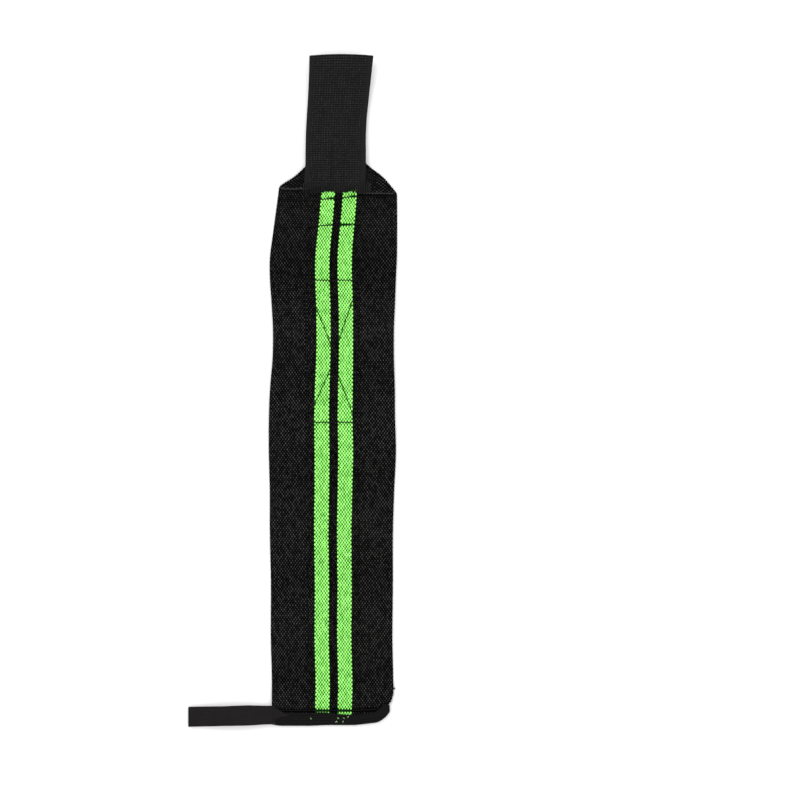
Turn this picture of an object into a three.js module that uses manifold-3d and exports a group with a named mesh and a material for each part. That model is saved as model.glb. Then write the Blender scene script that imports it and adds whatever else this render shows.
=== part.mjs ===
// A lifting wrist wrap, laid out flat with the face that touches the wrist turned up.
// Millimetres, +Z up. The wrap lies on the XY plane with its hook strap pointing along +Y
// and its thumb loop along -X. While it is drawn, X = 0 is the middle of the band and
// Y = 0 is half way along the band; the finished group is centred on its own footprint.
import * as THREE from "three";
import { mergeVertices } from "three/addons/utils/BufferGeometryUtils.js";
import Module from "manifold-3d";

const wasm = await Module();
wasm.setup();

const { clamp, lerp, smoothstep } = THREE.MathUtils;

// Driving dimensions

const sewnGap = 0.3; // between two layers that are sewn together

const bandWidth = 80;
const bandLength = 370; // from the bound end to the raw end under the strap
const bandThickness = 2;
const selvedgeShare = 0.56; // thickness of the rounded selvedge, as a share of the band's
const selvedgeRound = 1.2; // how far in from the selvedge the rounding reaches
const roundedCornerReach = 21; // the bound end's right corner: how far along the end it curves
const roundedCornerRise = 8.5; // and how far up the selvedge
const roundedCornerFade = 30; // the corner's curve dies out over this length of the band
const settleLength = 22; // length over which the band comes down from what lifts it
const liftMargin = 7; // the lift goes on this far past the piece below
const selvedgeDroop = 0.5; // share of the panel's lift that the selvedges lose

const leftFoldDown = 24.2; // from the raw end down the left selvedge to where its corner folds
const leftFoldIn = 26.3; // from the left selvedge in along the raw end
const rightFoldDown = 27.6;
const rightFoldIn = 28.4;

const panelWidth = 40;
const panelLength = 98;
const panelThickness = 1.3;
const panelFromRawEnd = 81; // from the band's raw end to the panel's near end
const panelShift = 0.6; // the panel is sewn this far to the right of the band's middle
const panelCornerRadius = 1.5;

const strapWidth = 40;
const strapLength = 85;
const strapOverlap = 23; // how far the strap runs onto the band
const strapBacking = 0.9; // woven tape of the strap, bare along its two selvedges
const hookHeight = 0.8; // the hooks that stand on it
const hookMargin = 3; // bare selvedge of the strap
const hookStep = 0.3; // width over which the hooks start beside it
const strapShift = 1.6; // the strap is sewn this far to the right of the band's middle
const strapLean = 4.2; // and its free end leans this much further
const strapCurl = 6; // the free end stands up this much
const strapClippedLength = 5; // its sewn right corner is clipped this far up the strap
const strapClippedWidth = 3.6; // and this far across it
const strapEndCrown = 1; // its free end is cut in a shallow curve
const strapDipMargin = 2.2; // it dips between the turned corners, this far inside their edges
const strapDipEase = 4; // over this width
const strapDipLoss = 0.4; // share of the dip that its stiffness takes away

const tapeWidth = 11.8; // elastic tape of the thumb loop and the bound end
const tapeThickness = 0.9;
const loopReach = 55.3; // from the band's selvedge to the loop's tip
const loopOpening = 5.6; // gap inside the loop at its widest
const loopTipRadius = 1.1; // the fold at the tip, at the middle of the tape
const loopFall = 1.1; // the tip lies this much nearer the bound end than the root
const loopLap = 1.5; // the loop's roots run this far into the binding
const bindingDepth = 4.6; // how far the folded tape covers each face of the band
const bindingCornerShare = 0.7; // and how much of that is left at the rounded corner

// Outline of the band as it lies, from the bound end (at 0) to the raw end (at 1).
// left and right are shares of half the band's width; wave is a share of its thickness.
const bandSections = [
  { at: 0.0, left: 0.97, right: 0.885, wave: 0.0 },
  { at: 0.016, left: 0.976, right: 0.955, wave: 0.0 },
  { at: 0.035, left: 0.98, right: 0.985, wave: 0.0 },
  { at: 0.075, left: 0.98, right: 0.985, wave: 0.0 },
  { at: 0.14, left: 0.996, right: 0.972, wave: 0.22 },
  { at: 0.24, left: 0.996, right: 0.98, wave: 0.0 },
  { at: 0.33, left: 1.012, right: 0.98, wave: 0.3 },
  { at: 0.4, left: 1.014, right: 1.0, wave: 0.12 },
  { at: 0.47, left: 1.029, right: 1.029, wave: 0.0 },
  { at: 0.535, left: 1.027, right: 1.014, wave: 0.0 },
  { at: 0.58, left: 1.01, right: 1.012, wave: 0.0 },
  { at: 0.64, left: 0.966, right: 0.996, wave: 0.0 },
  { at: 0.69, left: 0.964, right: 0.998, wave: 0.0 },
  { at: 0.73, left: 0.985, right: 1.014, wave: 0.0 },
  { at: 0.78, left: 1.014, right: 1.032, wave: 0.0 },
  { at: 0.81, left: 1.012, right: 1.045, wave: 0.0 },
  { at: 0.86, left: 0.955, right: 1.05, wave: 0.0 },
  { at: 0.93, left: 0.868, right: 1.045, wave: 0.0 },
  { at: 1.0, left: 0.79, right: 1.025, wave: 0.0 },
];

// The rounded corner, from where it leaves the straight end (at 0) to the selvedge (at 1).
// rise is a share of roundedCornerRise.
const cornerSections = [
  { at: 0.0, rise: 0.0 },
  { at: 0.29, rise: 0.08 },
  { at: 0.5, rise: 0.15 },
  { at: 0.7, rise: 0.25 },
  { at: 0.84, rise: 0.42 },
  { at: 0.94, rise: 0.68 },
  { at: 1.0, rise: 1.0 },
];

// Outline of the strap, from its sewn end (at 0) to its free end (at 1).
// width is a share of the strap's width, lean of strapLean, rise of strapCurl.
const strapSections = [
  { at: 0.0, width: 1.005, lean: 0.0, rise: 0.0 },
  { at: 0.17, width: 0.982, lean: 0.14, rise: 0.0 },
  { at: 0.27, width: 0.978, lean: 0.15, rise: 0.0 },
  { at: 0.4, width: 0.973, lean: 0.18, rise: -0.14 },
  { at: 0.53, width: 0.974, lean: 0.31, rise: -0.22 },
  { at: 0.67, width: 0.986, lean: 0.55, rise: -0.08 },
  { at: 0.82, width: 1.004, lean: 0.79, rise: 0.34 },
  { at: 1.0, width: 1.02, lean: 1.0, rise: 1.0 },
];

// The loop's upper layer, from its root (at 0) to its tip (at 1).
// swell is how far it arches over a straight line from root to tip, as a share of the most.
const loopSections = [
  { at: 0.0, swell: 0.0 },
  { at: 0.12, swell: 0.22 },
  { at: 0.25, swell: 0.6 },
  { at: 0.4, swell: 0.93 },
  { at: 0.55, swell: 0.98 },
  { at: 0.7, swell: 0.73 },
  { at: 0.83, swell: 0.36 },
  { at: 0.94, swell: 0.08 },
];

// Sheets

// A smooth reading of one column of a table at any share of the length.
function columnOf(table, column) {
  const curve = new THREE.CubicInterpolant(
    table.map((row) => row.at),
    table.map((row) => row[column]),
    1,
  );
  return (share) => curve.evaluate(clamp(share, 0, 1))[0];
}

// Even stations from 0 to 1, with any others that an edge needs, in order.
function stations(count, ...edges) {
  const even = Array.from({ length: count + 1 }, (_, i) => i / count);
  const room = 0.3 / count;
  const kept = even.filter((s) => s === 0 || s === 1 || edges.every((e) => Math.abs(e - s) > room));
  return [...kept, ...edges].sort((a, b) => a - b);
}

// A closed sheet. place(u, v, face) gives a point of its lower (-1) or upper (1) face.
function sheet(across, along, place) {
  const columns = across.length - 1;
  const rows = along.length - 1;
  const geometry = new THREE.BoxGeometry(1, 1, 1, columns, rows, 1);
  const position = geometry.getAttribute("position");
  const corner = new THREE.Vector3();
  for (let i = 0; i < position.count; i += 1) {
    corner.fromBufferAttribute(position, i);
    const u = across[Math.round((corner.x + 0.5) * columns)];
    const v = along[Math.round((corner.y + 0.5) * rows)];
    const point = place(u, v, Math.sign(corner.z));
    position.setXYZ(i, point.x, point.y, point.z);
  }
  return geometry;
}

function toSolid(geometry) {
  const bare = geometry.clone();
  bare.deleteAttribute("normal");
  bare.deleteAttribute("uv");
  const merged = mergeVertices(bare, 1e-4);
  return new wasm.Manifold(
    new wasm.Mesh({
      numProp: 3,
      vertProperties: new Float32Array(merged.attributes.position.array),
      triVerts: new Uint32Array(merged.index.array),
    }),
  );
}

function toGeometry(solid) {
  const mesh = solid.getMesh();
  const geometry = new THREE.BufferGeometry();
  geometry.setAttribute("position", new THREE.BufferAttribute(mesh.vertProperties, 3));
  geometry.setIndex(new THREE.BufferAttribute(mesh.triVerts, 1));
  geometry.computeVertexNormals();
  return geometry;
}

// A flat plate of any outline between two heights.
function plate(outline, low, high) {
  const geometry = new THREE.ExtrudeGeometry(new THREE.Shape(outline), {
    depth: high - low,
    bevelEnabled: false,
  });
  return geometry.translate(0, 0, low);
}

// Wrap band: one length of elastic webbing

const halfBand = bandWidth / 2;
const boundEnd = -bandLength / 2;
const rawEnd = bandLength / 2;
const leftShare = columnOf(bandSections, "left");
const rightShare = columnOf(bandSections, "right");
const waveShare = columnOf(bandSections, "wave");

const shareAt = (y) => (y - boundEnd) / bandLength;
const leftSelvedge = (y) => -halfBand * leftShare(shareAt(y));
const rightSelvedge = (y) => halfBand * rightShare(shareAt(y));

const panelTopEnd = rawEnd - panelFromRawEnd;
const panelLowEnd = panelTopEnd - panelLength;
const liftByPanel = panelThickness + sewnGap;
const liftByBinding = tapeThickness + sewnGap;

// Height of the band's underside: it is lifted by the panel and by the bound end, sags
// to the floor beside them, and has a few shallow waves of its own.
function bandUnderside(x, y) {
  const lowSide = panelLowEnd - liftMargin;
  const topSide = panelTopEnd + liftMargin;
  const onPanel =
    smoothstep(y, lowSide - settleLength, lowSide) * (1 - smoothstep(y, topSide, topSide + settleLength));
  const beside = smoothstep(Math.abs(x - panelShift), panelWidth / 2 + liftMargin / 2, halfBand);
  const bindingSide = boundEnd + bindingDepth + liftMargin;
  const onBinding = 1 - smoothstep(y, bindingSide, bindingSide + settleLength);
  return (
    liftByPanel * onPanel * (1 - selvedgeDroop * beside) +
    liftByBinding * onBinding +
    bandThickness * Math.max(0, waveShare(shareAt(y)))
  );
}

// How far the bound end's right corner curves up, at x.
const cornerRiseShare = columnOf(cornerSections, "rise");
const cornerSelvedge = rightSelvedge(boundEnd);

function cornerRise(x) {
  const start = cornerSelvedge - roundedCornerReach;
  return roundedCornerRise * Math.max(0, cornerRiseShare((x - start) / roundedCornerReach));
}

function bandPoint(u, v, face) {
  const flatY = lerp(boundEnd, rawEnd, v);
  const x = lerp(leftSelvedge(flatY), rightSelvedge(flatY), u);
  const y = flatY + cornerRise(x) * (1 - smoothstep(flatY, boundEnd, boundEnd + roundedCornerFade));
  const atSelvedge = u === 0 || u === 1;
  const half = (bandThickness / 2) * (atSelvedge ? selvedgeShare : 1);
  const z = bandUnderside(x, y) + bandThickness / 2 + face * half;
  return new THREE.Vector3(x, y, z);
}

// The raw end's two corners are folded over onto the upper face. Each fold line runs from
// the selvedge (start) to the raw end (end). turned is where the corner's tip comes to lie.
function foldOf(side, down, inward) {
  const selvedge = side < 0 ? leftSelvedge : rightSelvedge;
  const start = new THREE.Vector2(selvedge(rawEnd - down), rawEnd - down);
  const corner = new THREE.Vector2(selvedge(rawEnd), rawEnd);
  const end = new THREE.Vector2(corner.x - side * inward, rawEnd);
  const along = end.clone().sub(start).normalize();
  const inside = new THREE.Vector2(-side * along.y, side * along.x);
  const fromStart = corner.clone().sub(start);
  const turned = along
    .clone()
    .multiplyScalar(2 * fromStart.dot(along))
    .sub(fromStart)
    .add(start);
  return { side, start, end, turned, along, inside };
}

const folds = [foldOf(-1, leftFoldDown, leftFoldIn), foldOf(1, rightFoldDown, rightFoldIn)];
const flapLow = bandThickness + sewnGap;
const flapHigh = flapLow + bandThickness;
const foldRadius = flapHigh / 2; // outside of the rounded fold

// Everything beyond the line where the rounded fold starts.
function beyondFold(fold) {
  const reach = 2 * bandWidth; // far enough to pass the band on every side
  const near = fold.start.clone().addScaledVector(fold.inside, foldRadius);
  const start = near.clone().addScaledVector(fold.along, -reach);
  const end = near.clone().addScaledVector(fold.along, reach);
  const outline = [
    start,
    end,
    end.clone().addScaledVector(fold.inside, -reach),
    start.clone().addScaledVector(fold.inside, -reach),
  ];
  return toSolid(plate(outline, -flapHigh, 2 * flapHigh));
}

// The rounded fold itself, a half ring swept along the fold line, with a short lap at each
// side so that it joins the band below and the turned corner above.
function foldedEdge(fold) {
  const lap = 1;
  const ring = new THREE.Shape();
  ring.moveTo(lap, 0);
  ring.lineTo(0, 0);
  ring.absarc(0, foldRadius, foldRadius, -Math.PI / 2, -1.5 * Math.PI, true);
  ring.lineTo(lap, flapHigh);
  ring.lineTo(lap, flapLow);
  ring.lineTo(0, flapLow);
  ring.absarc(0, foldRadius, sewnGap / 2, Math.PI / 2, 1.5 * Math.PI, false);
  ring.lineTo(lap, bandThickness);
  const length = fold.start.distanceTo(fold.end);
  const geometry = new THREE.ExtrudeGeometry(ring, { depth: length, bevelEnabled: false, curveSegments: 6 });
  const inside = new THREE.Vector3(fold.inside.x, fold.inside.y, 0);
  const up = new THREE.Vector3(0, 0, 1);
  const sweep = inside.clone().cross(up);
  const forward = sweep.x * fold.along.x + sweep.y * fold.along.y > 0;
  const from = forward ? fold.start : fold.end;
  const foot = from.clone().addScaledVector(fold.inside, foldRadius);
  geometry.applyMatrix4(new THREE.Matrix4().makeBasis(inside, up, sweep).setPosition(foot.x, foot.y, 0));
  return toSolid(geometry);
}

// The corner that has been turned over, lying on the band from the fold inwards.
function turnedCorner(fold) {
  const outline = [fold.start, fold.turned, fold.end];
  return toSolid(plate(outline, flapLow, flapHigh)).subtract(beyondFold(fold));
}

function wrapBand() {
  const edge = selvedgeRound / bandWidth;
  const across = stations(9, edge, 1 - 4 * edge, 1 - 2.4 * edge, 1 - edge);
  const along = stations(64);
  let solid = toSolid(sheet(across, along, bandPoint));
  for (const fold of folds) {
    solid = solid.subtract(beyondFold(fold));
    solid = solid.add(foldedEdge(fold)).add(turnedCorner(fold));
  }
  return toGeometry(solid);
}

// Loop panel: soft loop tape under the band, which the strap's hooks grip

function loopPanel() {
  const halfWidth = panelWidth / 2;
  const halfLength = panelLength / 2;
  const radius = panelCornerRadius;
  const outline = new THREE.Shape();
  outline.moveTo(-halfWidth + radius, -halfLength);
  outline.lineTo(halfWidth - radius, -halfLength);
  outline.absarc(halfWidth - radius, -halfLength + radius, radius, -Math.PI / 2, 0, false);
  outline.lineTo(halfWidth, halfLength - radius);
  outline.absarc(halfWidth - radius, halfLength - radius, radius, 0, Math.PI / 2, false);
  outline.lineTo(-halfWidth + radius, halfLength);
  outline.absarc(-halfWidth + radius, halfLength - radius, radius, Math.PI / 2, Math.PI, false);
  outline.lineTo(-halfWidth, -halfLength + radius);
  outline.absarc(-halfWidth + radius, -halfLength + radius, radius, Math.PI, 1.5 * Math.PI, false);
  return new THREE.ExtrudeGeometry(outline, { depth: panelThickness, bevelEnabled: false, curveSegments: 3 });
}

// Hook strap: woven tape with a field of hooks, sewn over the folded corners

const strapLow = rawEnd - strapOverlap;
const strapCurve = {
  width: columnOf(strapSections, "width"),
  lean: columnOf(strapSections, "lean"),
  rise: columnOf(strapSections, "rise"),
};

// The strap bridges the two turned corners and dips onto the band between them.
function strapUnderside(x, y) {
  const left = Math.max(folds[0].turned.x, folds[0].end.x) + strapDipMargin;
  const right = Math.min(folds[1].turned.x, folds[1].end.x) - strapDipMargin;
  const fromLeft = smoothstep(x, left, left + strapDipEase);
  const fromSides = fromLeft * (1 - smoothstep(x, right - strapDipEase, right));
  const stiffened = 1 - strapDipLoss * smoothstep(y, strapLow, rawEnd - strapDipEase);
  const fromBand = 1 - smoothstep(y, rawEnd - strapDipEase, rawEnd + 2 * strapDipEase);
  return flapHigh + sewnGap - (flapHigh - bandThickness) * fromSides * fromBand * stiffened;
}

function strapPoint(u, v, face) {
  const width = strapWidth * strapCurve.width(v);
  const middle = strapShift + strapLean * strapCurve.lean(v);
  const x = middle + (u - 0.5) * width;
  const crown = strapEndCrown * (1 - (2 * u - 1) ** 2) * smoothstep(v, 0.9, 1);
  const clip = strapClippedLength * clamp(1 - (strapWidth * (1 - u)) / strapClippedWidth, 0, 1);
  const clipped = clip * (1 - smoothstep(v, 0, (3 * strapClippedLength) / strapLength));
  const y = strapLow + strapLength * v - strapEndCrown + crown + clipped;
  const fromEdge = strapWidth * Math.min(u, 1 - u);
  const hooks = fromEdge > hookMargin - hookStep / 2 ? hookHeight : 0;
  const thickness = face > 0 ? strapBacking + hooks : 0;
  return new THREE.Vector3(x, y, strapUnderside(x, y) + strapCurl * strapCurve.rise(v) + thickness);
}

function hookStrap() {
  const margin = hookMargin / strapWidth;
  const step = hookStep / strapWidth;
  const across = stations(20, margin - step, margin, 1 - margin, 1 - margin + step);
  return sheet(across, stations(24), strapPoint);
}

// Thumb loop: one elastic tape, folded lengthwise over the band's end as a binding, then
// opened flat, run out past the left selvedge, turned back at the tip and sewn down.

const bindingRadius = bandThickness / 2 + sewnGap + tapeThickness / 2;
const bindingLeft = leftSelvedge(boundEnd);

// The band's end from its left selvedge to the right one, round the corner.
function endCurve() {
  const straight = cornerSelvedge - roundedCornerReach;
  const xs = [bindingLeft, lerp(bindingLeft, straight, 0.35), lerp(bindingLeft, straight, 0.7)];
  for (const row of cornerSections) xs.push(straight + roundedCornerReach * row.at);
  return new THREE.CatmullRomCurve3(
    xs.map((x) => new THREE.Vector3(x, boundEnd + cornerRise(x), 0)),
    false,
    "centripetal",
  );
}

const bandEnd = endCurve();

function bindingPoint(u, v, face) {
  const point = bandEnd.getPointAt(u);
  const forward = bandEnd.getTangentAt(u);
  const inward = new THREE.Vector3(-forward.y, forward.x, 0);
  const middle = bandUnderside(point.x, point.y) + bandThickness / 2;
  const depth = bindingDepth * lerp(1, bindingCornerShare, smoothstep(u, 0.8, 1));
  const turn = (Math.PI * bindingRadius) / (2 * depth + Math.PI * bindingRadius);
  const wall = (1 - turn) / 2;
  const radius = bindingRadius - (face * tapeThickness) / 2;
  let into = 0;
  let up = 0;
  if (v < wall) {
    into = depth * (1 - v / wall);
    up = radius;
  } else if (v > 1 - wall) {
    into = depth * (1 - (1 - v) / wall);
    up = -radius;
  } else {
    const angle = (Math.PI * (v - wall)) / turn;
    into = -radius * Math.sin(angle);
    up = radius * Math.cos(angle);
  }
  point.addScaledVector(inward, into);
  point.z = middle + up;
  return point;
}

// The loop seen from the bound end, from its upper root round the tip to its lower root.
function loopCurve() {
  const low = tapeThickness / 2;
  const upperRoot = bandUnderside(bindingLeft, boundEnd) + bandThickness / 2 + bindingRadius;
  const tip = bindingLeft - loopReach + loopTipRadius + tapeThickness / 2;
  const tipTop = low + 2 * loopTipRadius;
  const span = bindingLeft - tip;
  const most = low + tapeThickness + loopOpening - lerp(upperRoot, tipTop, 0.5);
  const points = [new THREE.Vector3(bindingLeft + loopLap, 0, upperRoot)];
  for (const row of loopSections) {
    const height = lerp(upperRoot, tipTop, row.at) + most * row.swell;
    points.push(new THREE.Vector3(bindingLeft - span * row.at, 0, height));
  }
  for (const turn of [0.1, 0.3, 0.5, 0.7, 0.9]) {
    const out = loopTipRadius * Math.sin(Math.PI * turn);
    const height = low + loopTipRadius * (1 + Math.cos(Math.PI * turn));
    points.push(new THREE.Vector3(tip - out, 0, height));
  }
  for (const share of [0.94, 0.8, 0.6, 0.4, 0.2, 0]) {
    points.push(new THREE.Vector3(bindingLeft - span * share, 0, low));
  }
  points.push(new THREE.Vector3(bindingLeft + loopLap, 0, low));
  return new THREE.CatmullRomCurve3(points, false, "centripetal");
}

function loopTape() {
  const curve = loopCurve();
  const outerEdge = boundEnd - bindingRadius - tapeThickness / 2;
  const towardsOutside = new THREE.Vector3(0, -1, 0);
  const place = (u, v, face) => {
    const point = curve.getPointAt(u);
    const normal = curve.getTangentAt(u).cross(towardsOutside);
    const fall = (loopFall * clamp(bindingLeft - point.x, 0, loopReach)) / loopReach;
    point.y = outerEdge + tapeWidth * (1 - v) - fall;
    point.addScaledVector(normal, (face * tapeThickness) / 2);
    point.z = Math.max(point.z, 0);
    return point;
  };
  return sheet(stations(64), stations(2), place);
}

// Where the tape passes from the loop into the binding, it leaves the band's own room free.
function thumbLoop() {
  const beside = bindingLeft - sewnGap;
  const above = boundEnd + bindingDepth;
  const room = [
    new THREE.Vector2(beside, above),
    new THREE.Vector2(0, above),
    new THREE.Vector2(0, above + tapeWidth),
    new THREE.Vector2(beside, above + tapeWidth),
  ];
  const cleared = toSolid(plate(room, -loopOpening, 3 * loopOpening));
  const binding = toSolid(sheet(stations(30), stations(14), bindingPoint));
  return toGeometry(toSolid(loopTape()).subtract(cleared).add(binding));
}

// Assembly

function piece(name, geometry, colour, roughness) {
  const material = new THREE.MeshStandardMaterial({ color: colour, roughness, metalness: 0 });
  const mesh = new THREE.Mesh(geometry, material);
  mesh.name = name;
  return mesh;
}

const wrap = new THREE.Group();
wrap.add(piece("wrap_band", wrapBand(), 0x1c1d1c, 0.9));
wrap.add(piece("hook_strap", hookStrap(), 0x222223, 0.75));
wrap.add(piece("thumb_loop", thumbLoop(), 0x262324, 0.7));

const panel = piece("loop_panel", loopPanel(), 0x1a1a1a, 0.95);
panel.position.set(panelShift, (panelTopEnd + panelLowEnd) / 2, 0);
wrap.add(panel);

// The part's origin is the middle of its footprint, on the floor.
const footprint = new THREE.Box3().setFromObject(wrap);
const centre = footprint.getCenter(new THREE.Vector3());
wrap.position.set(-centre.x, -centre.y, -footprint.min.z);

export default wrap;
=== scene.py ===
import bpy
import mathutils
import numpy as np
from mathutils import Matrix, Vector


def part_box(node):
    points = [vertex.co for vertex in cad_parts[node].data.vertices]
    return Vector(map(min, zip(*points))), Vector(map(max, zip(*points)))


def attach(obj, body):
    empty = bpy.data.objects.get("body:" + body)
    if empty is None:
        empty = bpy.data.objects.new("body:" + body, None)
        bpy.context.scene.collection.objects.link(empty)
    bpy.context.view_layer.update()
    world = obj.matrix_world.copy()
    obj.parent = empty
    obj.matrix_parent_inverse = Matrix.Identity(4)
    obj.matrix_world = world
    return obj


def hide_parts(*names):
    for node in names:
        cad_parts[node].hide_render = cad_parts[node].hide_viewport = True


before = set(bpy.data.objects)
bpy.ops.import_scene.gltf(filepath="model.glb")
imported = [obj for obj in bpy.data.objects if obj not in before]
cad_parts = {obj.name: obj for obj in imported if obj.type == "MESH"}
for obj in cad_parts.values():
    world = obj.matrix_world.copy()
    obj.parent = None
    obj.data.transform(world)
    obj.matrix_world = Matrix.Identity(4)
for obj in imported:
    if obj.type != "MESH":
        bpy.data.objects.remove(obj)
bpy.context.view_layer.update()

# Wrap band
# One length of heavy elastic webbing, woven black with two green stripes. Its raw end has
# both corners folded over onto the inner face, so it is woven flat here and then bent along
# two slanting folds. The bound end's right corner is rounded.
band_width = 80.0
band_length = 370.0
band_thickness = 2.0
half_band = band_width / 2
bound_end = -band_length / 2
raw_end = band_length / 2
sewn_gap = 0.3

# Share of the length, then left and right selvedge as shares of half the width, then the
# height of the band's own shallow waves as a share of its thickness.
band_sections = np.array(
    [
        (0.0, 0.97, 0.885, 0.0),
        (0.016, 0.976, 0.955, 0.0),
        (0.035, 0.98, 0.985, 0.0),
        (0.075, 0.98, 0.985, 0.0),
        (0.14, 0.996, 0.972, 0.22),
        (0.24, 0.996, 0.98, 0.0),
        (0.33, 1.012, 0.98, 0.3),
        (0.4, 1.014, 1.0, 0.12),
        (0.47, 1.029, 1.029, 0.0),
        (0.535, 1.027, 1.014, 0.0),
        (0.58, 1.01, 1.012, 0.0),
        (0.64, 0.966, 0.996, 0.0),
        (0.69, 0.964, 0.998, 0.0),
        (0.73, 0.985, 1.014, 0.0),
        (0.78, 1.014, 1.032, 0.0),
        (0.81, 1.012, 1.045, 0.0),
        (0.86, 0.955, 1.05, 0.0),
        (0.93, 0.868, 1.045, 0.0),
        (1.0, 0.79, 1.025, 0.0),
    ]
)
corner_reach = 21.0
corner_height = 8.5
corner_fade = 30.0
corner_sections = np.array(
    [(0, 0), (0.29, 0.08), (0.5, 0.15), (0.7, 0.25), (0.84, 0.42), (0.94, 0.68), (1, 1)]
)


def read_table(table, column, share):
    """A smooth reading of a table's column at shares of the length, as the solids use it."""
    at, value = table[:, 0], table[:, column]
    share = np.clip(np.asarray(share, float), 0, 1)
    after = np.clip(np.searchsorted(at, share, side="right"), 1, len(at) - 1)
    before = after - 1
    ahead = np.where(after < len(at) - 1, after + 1, before)
    behind = np.where(before > 0, before - 1, after)
    half_step = (at[after] - at[before]) / 2
    pull_in = half_step / (at[before] - at[behind])
    pull_out = half_step / (at[ahead] - at[after])
    p = (share - at[before]) / (2 * half_step)
    return (
        (-pull_in * p**3 + 2 * pull_in * p**2 - pull_in * p) * value[behind]
        + ((1 + pull_in) * p**3 - (1.5 + 2 * pull_in) * p**2 + (pull_in - 0.5) * p + 1) * value[before]
        + ((-1 - pull_out) * p**3 + (1.5 + pull_out) * p**2 + 0.5 * p) * value[after]
        + (pull_out * p**3 - pull_out * p**2) * value[ahead]
    )


def eased(value, low, high):
    """0 below low, 1 above high, and a smooth step between them."""
    share = np.clip((value - low) / (high - low), 0, 1)
    return share * share * (3 - 2 * share)


def left_selvedge(y):
    return -half_band * read_table(band_sections, 1, (y - bound_end) / band_length)


def right_selvedge(y):
    return half_band * read_table(band_sections, 2, (y - bound_end) / band_length)


def corner_rise(x):
    """How far the bound end curves up at its right corner."""
    share = (x - right_selvedge(bound_end) + corner_reach) / corner_reach
    return corner_height * np.maximum(0, read_table(corner_sections, 1, share))


def corner_lift(x, flat_y):
    """How far the rounded corner has drawn a point of the band's selvedge up, fading upwards."""
    return corner_rise(x) * (1 - eased(flat_y, bound_end, bound_end + corner_fade))


corner_flat_y = np.linspace(bound_end, bound_end + 1.5 * corner_fade, 91)
corner_x = right_selvedge(corner_flat_y)
corner_y = corner_flat_y + corner_lift(corner_x, corner_flat_y)


def right_edge(y):
    """The right selvedge as it lies, with the rounded corner at the bound end."""
    return np.where(y < corner_y[-1], np.interp(y, corner_y, corner_x), right_selvedge(y))


uncut_start, uncut_meet, uncut_height = 38.0, 39.2, 13.0


def uncut_edge(y):
    """Where the right selvedge would run if the corner weren't rounded off."""
    straight = np.interp(y, [bound_end, bound_end + uncut_height], [uncut_start, uncut_meet])
    near_end = 1 - eased(y, bound_end + uncut_height - 1, bound_end + corner_fade)
    return right_edge(y) + near_end * np.maximum(0, straight - right_edge(y))


# What lifts the band: the loop panel under it, and the tape folded round its bound end.
panel_width, panel_length, panel_thickness = 40.0, 98.0, 1.3
panel_shift, panel_from_raw_end = 0.6, 81.0
panel_top_end = raw_end - panel_from_raw_end
panel_low_end = panel_top_end - panel_length
tape_thickness, binding_depth = 0.9, 4.6
settle_length, lift_margin = 22.0, 7.0
selvedge_droop = 0.5


def band_underside(x, y):
    """The band rests on the loop panel and on the bound end, and sags to the table between."""
    low, top = panel_low_end - lift_margin, panel_top_end + lift_margin
    on_panel = eased(y, low - settle_length, low) * (1 - eased(y, top, top + settle_length))
    beside = eased(np.abs(x - panel_shift), panel_width / 2 + lift_margin / 2, half_band)
    binding_side = bound_end + binding_depth + lift_margin
    on_binding = 1 - eased(y, binding_side, binding_side + settle_length)
    wave = np.maximum(0, read_table(band_sections, 3, (y - bound_end) / band_length))
    return (
        (panel_thickness + sewn_gap) * on_panel * (1 - selvedge_droop * beside)
        + (tape_thickness + sewn_gap) * on_binding
        + band_thickness * wave
    )


flap_top = 2 * band_thickness + sewn_gap
fold_radius = flap_top / 2


def corner_fold(side, down, inward):
    """A fold line from the selvedge, down below the raw end, to the raw end, inward of it."""
    selvedge = left_selvedge if side < 0 else right_selvedge
    start = np.array([float(selvedge(raw_end - down)), raw_end - down])
    end = np.array([float(selvedge(raw_end)) - side * inward, raw_end])
    along = (end - start) / np.linalg.norm(end - start)
    inside = np.array([-side * along[1], side * along[0]])
    return {"foot": start + fold_radius * inside, "inside": inside}


left_fold_down, left_fold_in = 24.2, 26.3
right_fold_down, right_fold_in = 27.6, 28.4
folds = [
    corner_fold(-1, left_fold_down, left_fold_in),
    corner_fold(1, right_fold_down, right_fold_in),
]

# The folds aren't quite straight: the right one is full and round, the left one is drawn in
# beside the strap and full only at its outer end. Each entry: place, push and reach.
corner_pushes = [
    ((32.8, 166.7), (0.8, 0.95), 8.0),
    ((-24.0, 169.2), (0.55, -0.65), 8.0),
    ((-33.1, 162.7), (-0.4, 0.4), 4.0),
]


def fold_over(x, y, middle, lift):
    """Points of the flat band, lift off its middle layer, after both corners are turned over."""
    point = np.stack([x, y, middle + lift], axis=-1)
    for fold in folds:
        beyond = -((point[..., 0] - fold["foot"][0]) * fold["inside"][0])
        beyond = beyond - (point[..., 1] - fold["foot"][1]) * fold["inside"][1]
        turned = beyond > 0
        angle = np.pi * np.clip(beyond / flap_top, 0, 1)
        back = np.maximum(0, beyond - flap_top)
        radius = fold_radius - band_thickness / 2 - lift
        out = radius * np.sin(angle) - back
        shift = np.where(turned, beyond - out, 0)
        point[..., 0] += shift * fold["inside"][0]
        point[..., 1] += shift * fold["inside"][1]
        point[..., 2] = np.where(turned, fold_radius - radius * np.cos(angle), point[..., 2])
    for place, push, reach in corner_pushes:
        away = (point[..., 0] - place[0]) ** 2 + (point[..., 1] - place[1]) ** 2
        near = np.exp(-away / reach**2)
        point[..., 0] += push[0] * near
        point[..., 1] += push[1] * near
    return point


seam_inset = 1.5


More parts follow.
